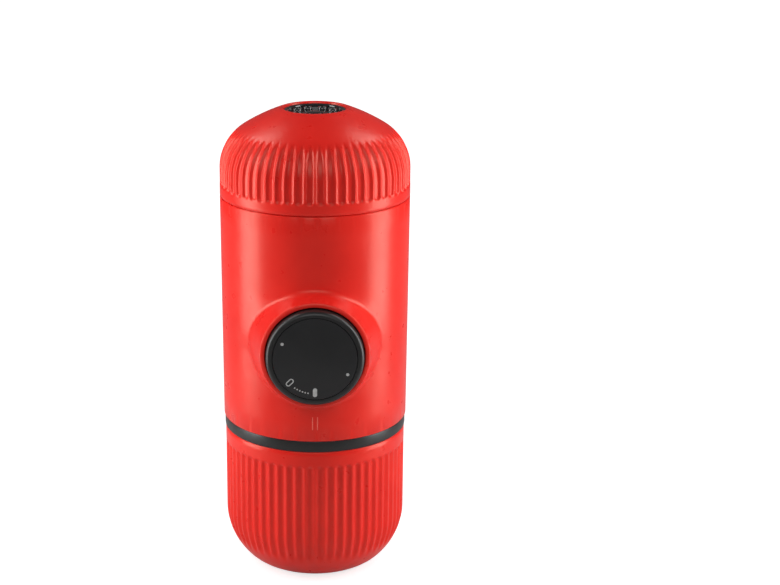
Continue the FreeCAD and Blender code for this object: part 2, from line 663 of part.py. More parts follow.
def return_spring():
    """The spring between the guide's flange and the knob's head, one unbroken wire on a helix."""
    front = KNOB_HEAD_REAR + SPRING_WIRE_RADIUS
    rear = GUIDE_FLOOR - SPRING_WIRE_RADIUS
    pitch = (rear - front) / SPRING_TURNS
    helix = Part.makeLongHelix(pitch, rear - front, SPRING_RADIUS, 0)
    wire = Part.Wire(helix.Edges)
    tilt = math.degrees(math.atan2(pitch, 2 * math.pi * SPRING_RADIUS))
    half = SPRING_WIRE_RADIUS * math.sqrt(math.pi) / 2
    corners = [Vector(SPRING_RADIUS + dx * half, 0, dz * half) for dx, dz in ((-1, -1), (1, -1), (1, 1), (-1, 1))]
    section = Part.makePolygon(corners + corners[:1])
    section.rotate(Vector(SPRING_RADIUS, 0, 0), Vector(1, 0, 0), tilt)
    spring = wire.makePipeShell([section], True, True)
    spring.rotate(CENTRE, Vector(1, 0, 0), -90)
    spring.translate(Vector(0, front, PUMP_HEIGHT))
    return spring


def brew_chamber():
    """The lower chassis: top plate, the socket for the outlet head, the port and four screw holes."""
    chamber = post(CHASSIS_RADIUS, SKIRT_BOTTOM, PLATE_TOP)
    chamber = chamber.cut(post(SOCKET_BORE, SKIRT_BOTTOM - 1, PLATE_BOTTOM))
    chamber = chamber.cut(post(PORT_RADIUS, PLATE_BOTTOM - 1, PLATE_TOP + 1, 0, PORT_Y))
    for x, y in post_places():
        chamber = chamber.cut(post(SCREW_SHANK_RADIUS + RUN_GAP, PLATE_BOTTOM - 1, PLATE_TOP + 1, x, y))
        head_space = CHASSIS_SCREW_HEAD_RADIUS + RUN_GAP * 2
        chamber = chamber.cut(post(head_space, PLATE_BOTTOM - 1, PLATE_BOTTOM + CHASSIS_SCREW_HEAD, x, y))
    return chamber


def chassis_screws():
    """Four screws from under the brew chamber's plate into the upper chassis's posts."""
    screws = []
    for x, y in post_places():
        head = post(CHASSIS_SCREW_HEAD_RADIUS, PLATE_BOTTOM, PLATE_BOTTOM + CHASSIS_SCREW_HEAD, x, y)
        shank = post(SCREW_SHANK_RADIUS, PLATE_BOTTOM, PLATE_BOTTOM + CHASSIS_SCREW_LENGTH, x, y)
        screws.append(head.fuse(shank))
    return Part.makeCompound(screws)


def shower_screen():
    """The perforated disc under the brew chamber's plate."""
    bottom = PLATE_BOTTOM - SCREEN_THICKNESS
    disc = post(SCREEN_RADIUS, bottom, PLATE_BOTTOM)
    return perforated(disc, bottom, PLATE_BOTTOM, SCREEN_RING_RADII)


def brew_gasket():
    return ring(FLANGE_RADIUS, SCREEN_RADIUS + RUN_GAP * 2, FLANGE_TOP, PLATE_BOTTOM)


def filter_basket():
    """The steel basket, with its flange and perforated floor."""
    basket = post(BASKET_RADIUS, BASKET_BOTTOM, FLANGE_TOP)
    basket = basket.fuse(post(FLANGE_RADIUS, BASKET_LEDGE, FLANGE_TOP))
    basket = basket.cut(post(BASKET_RADIUS - BASKET_WALL, BASKET_BOTTOM + BASKET_WALL, FLANGE_TOP + 1))
    return perforated(basket, BASKET_BOTTOM, BASKET_BOTTOM + BASKET_WALL, SCREEN_RING_RADII)


def scoop():
    """The measuring cup that is stored upside up in the basket."""
    outer = BASKET_RADIUS - BASKET_WALL - LOOSE_GAP
    bottom = BASKET_BOTTOM + BASKET_WALL
    body = post(outer, bottom, bottom + SCOOP_HEIGHT)
    return body.cut(post(outer - SCOOP_WALL, bottom + SCOOP_WALL, bottom + SCOOP_HEIGHT + 1))


def outlet_head():
    """The head under the body: threaded collar, visible rim, cup spigot, cavity and outlet."""
    head_outline = [
        (0, HEAD_BOTTOM),
        (SPIGOT_OUTER - EDGE_ROUND * 2, HEAD_BOTTOM),
        (SPIGOT_OUTER, HEAD_BOTTOM + EDGE_ROUND * 2),
        (SPIGOT_OUTER, RIM_BOTTOM),
        (RIM_RADIUS - EDGE_ROUND, RIM_BOTTOM),
        (RIM_RADIUS, RIM_BOTTOM + EDGE_ROUND),
        (RIM_RADIUS, RIM_TOP - EDGE_ROUND),
        (RIM_RADIUS - EDGE_ROUND, RIM_TOP),
        (NECK_RADIUS, RIM_TOP),
        (NECK_RADIUS, COLLAR_TOP),
        (0, COLLAR_TOP),
    ]
    head = turned_points(head_outline)
    head = head.cut(post(HEAD_CAVITY, HEAD_CAVITY_FLOOR, COLLAR_TOP + 1))
    head = head.cut(post(FLANGE_RADIUS + BASKET_GAP, BASKET_LEDGE, COLLAR_TOP + 1))
    return head.cut(post(OUTLET_RADIUS, HEAD_BOTTOM - 1, HEAD_CAVITY_FLOOR + 1))


def nozzle():
    """The outlet funnel under the head."""
    flange_bottom = HEAD_BOTTOM - NOZZLE_FLANGE
    cone_bottom = flange_bottom - NOZZLE_CONE_HEIGHT
    tip = cone_bottom - NOZZLE_TIP_LENGTH
    cone_top_radius = NOZZLE_FLANGE_RADIUS - NOZZLE_WALL
    outline = [
        (NOZZLE_BORE_RADIUS, tip),
        (NOZZLE_TIP_RADIUS, tip),
        (NOZZLE_TIP_RADIUS, cone_bottom),
        (cone_top_radius, flange_bottom),
        (NOZZLE_FLANGE_RADIUS, flange_bottom),
        (NOZZLE_FLANGE_RADIUS, HEAD_BOTTOM),
        (cone_top_radius - NOZZLE_WALL, HEAD_BOTTOM),
        (NOZZLE_BORE_RADIUS, cone_bottom),
    ]
    return turned_points(outline)


def head_gasket():
    return ring(CHASSIS_RADIUS - RUN_GAP, SOCKET_BORE, RIM_TOP, SKIRT_BOTTOM)


def cup():
    """The drinking cup: ribbed wall, rounded heel and flat base."""
    centre = (CUP_RADIUS - HEEL_RADIUS, HEEL_HEIGHT)
    heel_end = on_arc(centre, HEEL_RADIUS, -HEEL_SWEEP)
    inner_radius = HEEL_RADIUS - SHELL_WALL
    inner_end = on_arc(centre, inner_radius, -HEEL_SWEEP)
    edges = [
        line((CUP_BORE, CUP_HEIGHT), (CUP_RADIUS, CUP_HEIGHT)),
        line((CUP_RADIUS, CUP_HEIGHT), (CUP_RADIUS, HEEL_HEIGHT)),
        arc(centre, HEEL_RADIUS, 0, -HEEL_SWEEP),
        tangent_arc(heel_end, -HEEL_SWEEP, (BASE_RADIUS, 0)),
        line((BASE_RADIUS, 0), (0, 0)),
        line((0, 0), (0, SHELL_WALL)),
        line((0, SHELL_WALL), (BASE_RADIUS, SHELL_WALL)),
        tangent_arc((BASE_RADIUS, SHELL_WALL), -90, inner_end),
        arc(centre, inner_radius, -HEEL_SWEEP, 0),
        line((CUP_BORE, HEEL_HEIGHT), (CUP_BORE, CUP_HEIGHT)),
    ]
    start = CUP_HEIGHT - CUP_RIB_START
    stations = [(CUP_RADIUS, start, 0, 0), (CUP_RADIUS, start - VALLEY_RUN_IN, 0, VALLEY_DEPTH)]
    stations.append((CUP_RADIUS, HEEL_HEIGHT, 0, VALLEY_DEPTH))
    for step in range(1, CUP_RIB_STEPS + 1):
        degrees = -CUP_RIB_SWEEP * step / CUP_RIB_STEPS
        r, z = on_arc(centre, HEEL_RADIUS, degrees)
        stations.append((r, z, degrees, VALLEY_DEPTH if step < CUP_RIB_STEPS else 0))
    return cut_valleys(turned(edges), stations, CUP_RIB_WIDTH)


NODES = {
    "cup": cup,
    "outlet_head": outlet_head,
    "nozzle": nozzle,
    "head_gasket": head_gasket,
    "filter_basket": filter_basket,
    "scoop": scoop,
    "body_housing": body_housing,
    "brew_chamber": brew_chamber,
    "shower_screen": shower_screen,
    "brew_gasket": brew_gasket,
    "chassis_screws": chassis_screws,
    "pump_cylinder": pump_cylinder,
    "cylinder_cap": cylinder_cap,
    "inlet_valve": inlet_valve,
    "outlet_valve": outlet_valve,
    "knob_guide": knob_guide,
    "return_spring": return_spring,
    "plunger_rod": plunger_rod,
    "piston": piston,
    "piston_seal": piston_seal,
    "knob": knob,
    "knob_face": knob_face,
    "knob_screw": knob_screw,
    "tank_well": tank_well,
    "inlet_strainer": inlet_strainer,
    "tank_gasket": tank_gasket,
    "tank_shell": tank_shell,
    "support_foot": support_foot,
}


def main():
    os.makedirs("parts", exist_ok=True)
    for name, make in NODES.items():
        shape = make()
        shape.exportStep(f"parts/{name}.step")
        print(name, len(shape.Solids), "solid", round(shape.Volume, 1), "mm3", shape.isValid())


main()
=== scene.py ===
import math

import bpy
from mathutils import Matrix, Vector


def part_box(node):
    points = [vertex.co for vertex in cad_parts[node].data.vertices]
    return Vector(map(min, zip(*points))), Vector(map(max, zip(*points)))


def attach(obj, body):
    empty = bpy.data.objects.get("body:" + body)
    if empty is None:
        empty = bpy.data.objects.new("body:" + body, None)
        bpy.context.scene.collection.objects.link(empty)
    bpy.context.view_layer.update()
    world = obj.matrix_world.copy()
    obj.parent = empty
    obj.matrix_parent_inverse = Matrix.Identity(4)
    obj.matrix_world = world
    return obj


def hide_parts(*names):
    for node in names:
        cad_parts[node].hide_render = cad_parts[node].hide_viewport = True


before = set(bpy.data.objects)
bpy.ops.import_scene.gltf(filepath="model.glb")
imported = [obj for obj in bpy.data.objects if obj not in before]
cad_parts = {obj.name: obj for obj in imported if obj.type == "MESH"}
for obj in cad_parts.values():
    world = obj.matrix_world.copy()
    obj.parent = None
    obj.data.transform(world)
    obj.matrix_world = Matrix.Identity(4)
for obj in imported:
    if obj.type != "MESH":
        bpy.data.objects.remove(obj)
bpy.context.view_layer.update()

MM = 0.001

# Places read from the frame, in metres
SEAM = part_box("body_housing")[1][2]
RIM_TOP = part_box("body_housing")[0][2]
RIM_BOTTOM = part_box("cup")[1][2]
TANK_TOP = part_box("tank_shell")[1][2]
NECK_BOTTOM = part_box("tank_shell")[0][2]
TANK_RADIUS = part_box("tank_shell")[1][0]
CUP_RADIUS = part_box("cup")[1][0]
RIM_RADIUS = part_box("outlet_head")[1][0]
HEAD_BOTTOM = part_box("outlet_head")[0][2]
COLLAR_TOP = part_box("outlet_head")[1][2]
KNOB_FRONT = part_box("knob")[0][1]
KNOB_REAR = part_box("knob")[1][1]
KNOB_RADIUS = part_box("knob")[1][0]
PUMP_HEIGHT = (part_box("knob_face")[0][2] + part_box("knob_face")[1][2]) / 2
FACE_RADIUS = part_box("knob_face")[1][0]

# Domes, as the solids have them
SHOULDER_RADIUS = 16.07 * MM
SHOULDER_SWEEP = 58.0
TANK_WALL_HEIGHT = 9.0 * MM
HEEL_HEIGHT = 19.6 * MM
HEEL_RADIUS = 22.1 * MM
HEEL_SWEEP = 45.4
BASE_RADIUS = 14.5 * MM
SHELL_WALL = 2.0 * MM
RECESS_RADIUS = 10.2 * MM
RECESS_DEPTH = 2.8 * MM
RIB_COUNT = 60
STEPS_PER_RIB = 12

# Valleys between the ribs: where they end, how far they fade there, and the ribs' half width and height
TANK_VALLEY_ENDS = (SEAM + 4.9 * MM, SEAM + 17.0 * MM)
TANK_VALLEY_FADES = (1.35 * MM, 5.2 * MM)
TANK_RIB_HALF = 0.31
TANK_RIB_DEPTH = 0.62 * MM
CUP_VALLEY_ENDS = (12.6 * MM, RIM_BOTTOM - 6.2 * MM)
CUP_VALLEY_FADES = (4.2 * MM, 1.5 * MM)
CUP_RIB_HALF = 0.46
CUP_RIB_DEPTH = 0.60 * MM

# Neck, seam and boss
NECK_RADIUS = 27.0 * MM
NECK_WALL = 1.8 * MM
SOCKET_BORE = 27.05 * MM
SEAM_GAP = 0.4 * MM
BOSS_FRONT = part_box("body_housing")[0][1]
BOSS_BORE = 15.75 * MM
BOSS_LIP = 0.8 * MM

# Threads: the lead of each is how far its joint moves in one turn
THREAD_DEPTH = 0.6 * MM
THREAD_CREST = 0.7 * MM
THREAD_FLANK = 0.7 * MM
THREAD_STEPS = 216
HELIX_STEPS_PER_TURN = 96
TANK_LEAD = 8.0 * MM
TANK_THREAD_START = NECK_BOTTOM
HEAD_LEAD = 6.0 * MM
HEAD_THREAD_START = RIM_TOP
BASKET_RADIUS = 23.0 * MM

# Points nearer than these are joined, in turned pieces and in copies of CAD nodes
MERGE_DISTANCE = 0.0005 * MM
CAD_MERGE_DISTANCE = 0.001 * MM


def deselect():
    """Leaves nothing selected."""
    bpy.ops.object.select_all(action="DESELECT")


def edit(piece):
    """Opens a piece in edit mode with everything selected."""
    deselect()
    piece.select_set(True)
    bpy.context.view_layer.objects.active = piece
    bpy.ops.object.mode_set(mode="EDIT")
    bpy.ops.mesh.select_all(action="SELECT")


def leave():
    bpy.ops.object.mode_set(mode="OBJECT")


def added(name):
    """The object that an operator has just added, under its own name."""
    piece = bpy.context.object
    piece.name = name
    piece.data.name = name
    return piece


def apply_modifiers(piece):
    deselect()
    piece.select_set(True)
    bpy.context.view_layer.objects.active = piece
    for modifier in list(piece.modifiers):
        bpy.ops.object.modifier_apply(modifier=modifier.name)


def smooth(piece, degrees=32):
    """Shades a piece smooth, with its real edges kept sharp."""
    deselect()
    piece.select_set(True)
    bpy.context.view_layer.objects.active = piece
    bpy.ops.object.shade_smooth_by_angle(angle=math.radians(degrees))


def soften(piece, width, segments=2, degrees=35):
    """Rounds a piece's real edges."""
    bevel = piece.modifiers.new("edge_round", "BEVEL")
    bevel.width = width
    bevel.segments = segments
    bevel.limit_method = "ANGLE"
    bevel.angle_limit = math.radians(degrees)
    apply_modifiers(piece)


def finish_piece(piece, body, material, nodes=()):
    """Gives a piece its body and material, and hides the CAD nodes that it stands for."""
    piece.data.materials.clear()
    piece.data.materials.append(material)
    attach(piece, body)
    if nodes:
        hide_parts(*nodes)


def lathe(name, outline, steps):
    """A closed (r, height) outline turned about the main axis."""
    deselect()
    bpy.ops.mesh.primitive_circle_add(vertices=len(outline), radius=1.0, location=(0, 0, 0))
    piece = added(name)
    for vertex, (r, height) in zip(piece.data.vertices, outline):
        vertex.co = Vector((r, 0, height))
    edit(piece)
    bpy.ops.mesh.spin(steps=steps, angle=math.tau, center=(0, 0, 0), axis=(0, 0, 1))
    bpy.ops.mesh.select_all(action="SELECT")
    bpy.ops.mesh.remove_doubles(threshold=MERGE_DISTANCE)
    bpy.ops.mesh.normals_make_consistent(inside=False)
    leave()
    return piece


def onto_pump_axis(piece):
    """Lays a piece turned about the main axis onto the pump's axis: its height becomes Y."""
    lay = Matrix.Translation((0, 0, PUMP_HEIGHT)) @ Matrix.Rotation(math.radians(-90), 4, "X")
    piece.data.transform(lay)
    return piece


def arc_points(centre, radius, from_deg, to_deg, count):
    """Points on an arc, the first left out."""
    points = []
    for index in range(1, count + 1):
        angle = math.radians(from_deg + (to_deg - from_deg) * index / count)
        points.append((centre[0] + radius * math.cos(angle), centre[1] + radius * math.sin(angle)))
    return points


def line_points(start, end, count):
    """Points on a straight run, the first left out."""
    across, along = end[0] - start[0], end[1] - start[1]
    return [
        (start[0] + across * index / count, start[1] + along * index / count)
        for index in range(1, count + 1)
    ]


def tangent_points(start, normal_deg, end, count):
    """Points on the arc that leaves start square to its normal and ends at end."""
    normal = (math.cos(math.radians(normal_deg)), math.sin(math.radians(normal_deg)))
    chord = (end[0] - start[0], end[1] - start[1])
    inward = -(chord[0] * normal[0] + chord[1] * normal[1])
    radius = (chord[0] ** 2 + chord[1] ** 2) / (2 * inward)
    centre = (start[0] - radius * normal[0], start[1] - radius * normal[1])
    end_deg = math.degrees(math.atan2(end[1] - centre[1], end[0] - centre[0]))
    return arc_points(centre, radius, normal_deg, end_deg, count)


# Materials

CLOUD_SCALE = 55.0
SCUFF_SCALE = 240.0
BRUSH_SCALE = 900.0
BLOOM_SCALE = 130.0
RUBBER_GRAIN_SCALE = 1600.0
INK_SCALE = 900.0
PLASTIC_GRAIN_STRENGTH = 0.35
BRUSH_STRENGTH = 0.15
RUBBER_GRAIN_STRENGTH = 0.3
COAT_ROUGHNESS = 0.12
STEEL_DARK = (0.50, 0.50, 0.51)
STEEL_BRIGHT = (0.72, 0.72, 0.73)


def new_material(name):
    """A material with its shader, and the Object coordinates that its patterns read."""
    material = bpy.data.materials.new(name)
    material.use_nodes = True
    nodes, links = material.node_tree.nodes, material.node_tree.links
    return material, nodes, links, nodes["Principled BSDF"], nodes.new("ShaderNodeTexCoord")


def noise(nodes, links, coords, scale, detail=3.0, stretch=None):
    """A noise pattern on the Object coordinates, stretched if asked."""
    texture = nodes.new("ShaderNodeTexNoise")
    texture.inputs["Scale"].default_value = scale
    texture.inputs["Detail"].default_value = detail
    source = coords.outputs["Object"]
    if stretch:
        mapping = nodes.new("ShaderNodeMapping")
        mapping.inputs["Scale"].default_value = stretch
        links.new(source, mapping.inputs["Vector"])
        source = mapping.outputs["Vector"]
    links.new(source, texture.inputs["Vector"])
    return texture


def colour_between(nodes, links, pattern, low, high, start=0.35, stop=0.65):
    """A ramp from one colour to another over a pattern."""
    ramp = nodes.new("ShaderNodeValToRGB")
    ramp.color_ramp.elements[0].position = start
    ramp.color_ramp.elements[0].color = (*low, 1)
    ramp.color_ramp.elements[1].position = stop
    ramp.color_ramp.elements[1].color = (*high, 1)
    links.new(pattern.outputs["Fac"], ramp.inputs["Fac"])
    return ramp


def value_between(nodes, links, pattern, low, high):
    """A number that follows a pattern."""
    spread = nodes.new("ShaderNodeMapRange")
    spread.inputs["From Min"].default_value = 0.3
    spread.inputs["From Max"].default_value = 0.7
    spread.inputs["To Min"].default_value = low
    spread.inputs["To Max"].default_value = high
    links.new(pattern.outputs["Fac"], spread.inputs["Value"])
    return spread


def bump(nodes, links, shader, pattern, strength, distance):
    """Fine relief from a pattern, in the shader's normal."""
    relief = nodes.new("ShaderNodeBump")
    relief.inputs["Strength"].default_value = strength
    relief.inputs["Distance"].default_value = distance
    links.new(pattern.outputs["Fac"], relief.inputs["Height"])
    links.new(relief.outputs["Normal"], shader.inputs["Normal"])


def moulded_plastic(name, low, high, roughness, grain, grain_depth, coat=0.0, specular=0.5, tint=(1, 1, 1)):
    """Moulded plastic: slight clouding of the colour, and a fine spark-eroded grain."""
    material, nodes, links, shader, coords = new_material(name)
    cloud = noise(nodes, links, coords, CLOUD_SCALE)
    links.new(colour_between(nodes, links, cloud, low, high).outputs["Color"], shader.inputs["Base Color"])
    scuffs = noise(nodes, links, coords, SCUFF_SCALE, 5.0)
    links.new(value_between(nodes, links, scuffs, *roughness).outputs["Result"], shader.inputs["Roughness"])
    pits = noise(nodes, links, coords, grain, 2.0)
    bump(nodes, links, shader, pits, PLASTIC_GRAIN_STRENGTH, grain_depth)
    shader.inputs["Coat Weight"].default_value = coat
    shader.inputs["Coat Roughness"].default_value = COAT_ROUGHNESS
    shader.inputs["Specular IOR Level"].default_value = specular
    shader.inputs["Specular Tint"].default_value = (*tint, 1)
    return material


def brushed_steel(name, stretch):
    """Stainless steel with fine brushing across one direction."""
    material, nodes, links, shader, coords = new_material(name)
    shader.inputs["Metallic"].default_value = 1.0
    brushing = noise(nodes, links, coords, BRUSH_SCALE, 4.0, stretch)
    tone = colour_between(nodes, links, brushing, STEEL_DARK, STEEL_BRIGHT)
    links.new(tone.outputs["Color"], shader.inputs["Base Color"])
    sheen = value_between(nodes, links, brushing, 0.22, 0.38)
    links.new(sheen.outputs["Result"], shader.inputs["Roughness"])
    bump(nodes, links, shader, brushing, BRUSH_STRENGTH, 0.01 * MM)
    return material


def rubber(name, low, high):
    """Soft seal rubber with a dusty bloom."""
    material, nodes, links, shader, coords = new_material(name)
    bloom = noise(nodes, links, coords, BLOOM_SCALE, 6.0)
    links.new(colour_between(nodes, links, bloom, low, high).outputs["Color"], shader.inputs["Base Color"])
    links.new(value_between(nodes, links, bloom, 0.62, 0.82).outputs["Result"], shader.inputs["Roughness"])
    grain = noise(nodes, links, coords, RUBBER_GRAIN_SCALE)
    bump(nodes, links, shader, grain, RUBBER_GRAIN_STRENGTH, 0.02 * MM)
    return material


def pad_print(name, low, high):
    """Printed ink with slightly uneven cover."""
    material, nodes, links, shader, coords = new_material(name)
    cover = noise(nodes, links, coords, INK_SCALE, 4.0)
    links.new(colour_between(nodes, links, cover, low, high).outputs["Color"], shader.inputs["Base Color"])
    links.new(value_between(nodes, links, cover, 0.45, 0.6).outputs["Result"], shader.inputs["Roughness"])
    return material


RED = moulded_plastic(
    "red_moulded", low=(0.80, 0.017, 0.012), high=(0.86, 0.022, 0.015), roughness=(0.27, 0.33),
    grain=2600.0, grain_depth=0.006 * MM, specular=0.44, tint=(1.0, 0.80, 0.62),
)
BLACK = moulded_plastic(
    "black_moulded", low=(0.010, 0.010, 0.010), high=(0.016, 0.016, 0.016), roughness=(0.30, 0.40),
    grain=2300.0, grain_depth=0.02 * MM,
)
DIAL = moulded_plastic(
    "dial_black", low=(0.010, 0.010, 0.011), high=(0.015, 0.015, 0.016), roughness=(0.36, 0.46),
    grain=2800.0, grain_depth=0.012 * MM,
)
GLOSS = moulded_plastic(
    "gloss_black", low=(0.010, 0.010, 0.011), high=(0.016, 0.016, 0.017), roughness=(0.08, 0.14),
    grain=900.0, grain_depth=0.004 * MM, coat=0.5,
)
GREY = moulded_plastic(
    "grey_moulded", low=(0.24, 0.25, 0.26), high=(0.31, 0.32, 0.33), roughness=(0.36, 0.46),
    grain=2100.0, grain_depth=0.015 * MM,
)
STEEL = brushed_steel("steel_drawn", stretch=(0.05, 0.05, 1.0))
STEEL_TURNED = brushed_steel("steel_turned", stretch=(1.0, 0.05, 1.0))
RUBBER = rubber("seal_rubber", low=(0.035, 0.035, 0.036), high=(0.055, 0.055, 0.056))
PRINT = pad_print("silver_print", low=(0.50, 0.50, 0.49), high=(0.62, 0.62, 0.61))
MARK = moulded_plastic(
    "red_mark", low=(0.90, 0.13, 0.10), high=(0.95, 0.16, 0.12), roughness=(0.34, 0.42),
    grain=2600.0, grain_depth=0.01 * MM,
)


# Ribbed shells


def valley_depth(share, over, rib_half, depth):
    """How deep a valley is at a share of the pitch from its middle and a share past its end.

    A rib is a round ridge, rib_half of a pitch from its crest to its foot, and the valley's floor is flat.
    """
    reach = math.hypot(2 * share, over)
    if reach >= 1:
        return 0.0
    from_crest = (1 - reach) / 2
    if from_crest >= rib_half:
        return depth
    return depth * (0.5 - 0.5 * math.cos(math.pi * from_crest / rib_half))


def carve_ribs(piece, on_outside, ends, end_lengths, rib_half, depth):
    """Sinks the valleys between the ribs into a shell's outside.

    ends are the heights where the valleys' floor lines stop.
    end_lengths are how far each fades past its end.
    """
    normals = [vertex.normal.copy() for vertex in piece.data.vertices]
    low, high = ends
    for vertex, normal in zip(piece.data.vertices, normals):
        r = math.hypot(vertex.co.x, vertex.co.y)
        if not on_outside(r, vertex.co.z):
            continue
        angle = math.atan2(vertex.co.x, -vertex.co.y)
        turn = angle / math.tau * RIB_COUNT
        share = turn - math.floor(turn) - 0.5
        over = max(0.0, (vertex.co.z - high) / end_lengths[1], (low - vertex.co.z) / end_lengths[0])
        vertex.co -= normal * valley_depth(share, over, rib_half, depth)
    piece.data.update()


def carve_thread(piece, low, high, lead, start):
    """Sinks the groove beside the helical ridge into a neck, and out at the neck's free end."""
    on_surface = 0.05 * MM
    for vertex in piece.data.vertices:
        r = math.hypot(vertex.co.x, vertex.co.y)
        if abs(r - NECK_RADIUS) > on_surface or not low < vertex.co.z < high:
            continue
        turn = math.atan2(vertex.co.y, vertex.co.x) / math.tau
        share = (vertex.co.z - start) / lead - turn
        from_ridge = abs(share - round(share)) * lead
        slope = (from_ridge - THREAD_CREST) / THREAD_FLANK
        sunk = THREAD_DEPTH * min(1.0, max(0.0, slope))
        vertex.co.x *= (r - sunk) / r
        vertex.co.y *= (r - sunk) / r
    piece.data.update()


def socket_thread(name, low, high, lead, start):
    """The helical ridge in a socket of the body, which lies in the neck's groove."""
    middle = start + lead / 2
    turns = (high - low) / lead
    foot = SOCKET_BORE + 0.1 * MM
    crest = NECK_RADIUS - THREAD_DEPTH + 0.15 * MM
    foot_half, crest_half = 1.0 * MM, 0.35 * MM
    profile = [(foot, -foot_half), (crest, -crest_half), (crest, crest_half), (foot, foot_half)]
    deselect()
    bpy.ops.mesh.primitive_circle_add(vertices=len(profile), radius=1.0, location=(0, 0, 0))
    ridge = added(name)
    for vertex, (r, height) in zip(ridge.data.vertices, profile):
        vertex.co = Vector((r, 0, height))
    screw = ridge.modifiers.new("helix", "SCREW")
    screw.axis = "Z"
    screw.angle = math.tau * turns
    screw.screw_offset = high - low
    screw.steps = int(HELIX_STEPS_PER_TURN * turns)
    screw.render_steps = screw.steps
    apply_modifiers(ridge)
    edit(ridge)
    bpy.ops.mesh.select_all(action="DESELECT")
    bpy.ops.mesh.select_non_manifold()
    bpy.ops.mesh.fill_holes(sides=0)
    bpy.ops.mesh.select_all(action="SELECT")
    bpy.ops.mesh.normals_make_consistent(inside=False)
    leave()
    turn = math.tau * (low - middle) / lead
    ridge.data.transform(Matrix.Translation((0, 0, low)) @ Matrix.Rotation(turn, 4, "Z"))
    smooth(ridge, 40)
    finish_piece(ridge, "body", BLACK)


def tank_skin():
    """The water tank with its full ribs and rounded rims, down to its shoulder."""
    centre = (TANK_RADIUS - SHOULDER_RADIUS, SEAM + TANK_WALL_HEIGHT)
    inner_radius = SHOULDER_RADIUS - SHELL_WALL
    inner_wall = TANK_RADIUS - SHELL_WALL
    neck_bore = NECK_RADIUS - NECK_WALL
    neck_joint = SEAM + 0.2 * MM
    floor = TANK_TOP - RECESS_DEPTH
    ceiling = floor - SHELL_WALL
    gap_top = SEAM + SEAM_GAP
    gap_root = TANK_RADIUS - 0.8 * MM
    edge = 0.15 * MM
    lip_width = 1.0 * MM
    rim = (RECESS_RADIUS + lip_width, TANK_TOP)
    lower_edge = (TANK_RADIUS, gap_top + edge)
    ribs_from = (TANK_RADIUS, SEAM + 2.6 * MM)
    ribs_full = (TANK_RADIUS, SEAM + 6.2 * MM)
    shoulder = arc_points(centre, SHOULDER_RADIUS, 0, SHOULDER_SWEEP, 22)
    crown = tangent_points(shoulder[-1], SHOULDER_SWEEP, rim, 8)[:-1]
    inner = [(inner_wall, centre[1])] + arc_points(centre, inner_radius, 0, SHOULDER_SWEEP, 6)

    outline = [(NECK_RADIUS, SEAM), (gap_root, SEAM), (gap_root, gap_top)]
    outline += [(TANK_RADIUS - edge, gap_top), lower_edge]
    outline += line_points(lower_edge, ribs_from, 2)
    outline += line_points(ribs_from, ribs_full, 12)
    outline += line_points(ribs_full, (TANK_RADIUS, centre[1]), 3)
    outline += shoulder
    outline += crown
    outline += [(rim[0] + 0.1 * MM, TANK_TOP - 0.06 * MM), (rim[0] - 0.3 * MM, TANK_TOP)]
    outline += [(RECESS_RADIUS + 0.25 * MM, TANK_TOP - 0.03 * MM), (RECESS_RADIUS, TANK_TOP - 0.3 * MM)]
    outline += [(RECESS_RADIUS, floor), (0.0, floor), (0.0, ceiling), (RECESS_RADIUS + SHELL_WALL, ceiling)]
    outline += list(reversed(inner))
    outline += [(inner_wall, SEAM + SHELL_WALL), (neck_bore, SEAM + SHELL_WALL)]
    outline += [(neck_bore, neck_joint), (NECK_RADIUS, neck_joint)]
    piece = lathe("tank_skin", outline, RIB_COUNT * STEPS_PER_RIB)
    plain_band_top = SEAM + 2.0 * MM

    def on_outside(r, z):
        return z > plain_band_top and outside_of_dome(r, z, centre, SHOULDER_RADIUS, 1)

    carve_ribs(piece, on_outside, TANK_VALLEY_ENDS, TANK_VALLEY_FADES, TANK_RIB_HALF, TANK_RIB_DEPTH)
    smooth(piece, 50)
    finish_piece(piece, "tank", RED, ["tank_shell"])


def tank_neck():
    """The tank's neck with its coarse thread."""
    edge = 0.3 * MM
    bore = NECK_RADIUS - NECK_WALL
    bottom = (NECK_RADIUS, NECK_BOTTOM + edge)
    top = (NECK_RADIUS, SEAM + 0.2 * MM)
    rows = 54
    thread_from = NECK_BOTTOM + 0.1 * MM
    thread_to = SEAM - 1.4 * MM
    outline = [(bore, top[1]), (bore, bottom[1]), (bore + edge, NECK_BOTTOM)]
    outline += [(NECK_RADIUS - THREAD_DEPTH - edge, NECK_BOTTOM), bottom]
    outline += line_points(bottom, top, rows)
    piece = lathe("tank_neck", outline, THREAD_STEPS)
    carve_thread(piece, thread_from, thread_to, TANK_LEAD, TANK_THREAD_START)
    smooth(piece, 40)
    finish_piece(piece, "tank", RED)


def outside_of_dome(r, z, centre, radius, side):
    """True for a point on the outer face of a shell: its wall, or its dome.

    side is 1 where the dome is above its centre, and -1 where it is below.
    """
    rise = (z - centre[1]) * side
    outer = radius - 0.4 * MM
    if rise <= 0:
        return r > centre[0] + outer
    return math.hypot(r - centre[0], rise) > outer


